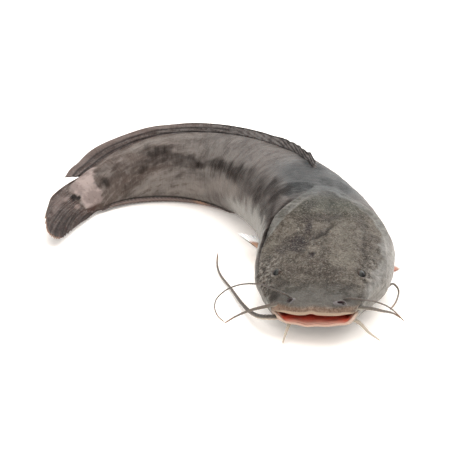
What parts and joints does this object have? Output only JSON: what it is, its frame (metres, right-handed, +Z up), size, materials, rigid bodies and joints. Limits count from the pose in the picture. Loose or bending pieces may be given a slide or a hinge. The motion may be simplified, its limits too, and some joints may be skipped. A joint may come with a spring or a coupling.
{
  "type": "whole raw catfish",
  "caption": "Whole raw catfish lying on its belly, body bent to one side, mouth ajar, with feelers and long low fins.",
  "frame": {"origin": "on the ground, under the middle of the fish's outline seen from above", "axes": "+Z up, -Y the way the head looks, +X towards the fish's left side; the tail comes round on -X"},
  "size_m": [0.2458, 0.2828, 0.0657],
  "materials": {
    "skin": "wet satin",
    "mouth": "wet gloss",
    "fin": "wet satin",
    "barbel": "satin",
    "eye": "wet gloss"
  },
  "bodies": {
    "root": {"fish_body": "skin"}
  },
  "joints": []
}
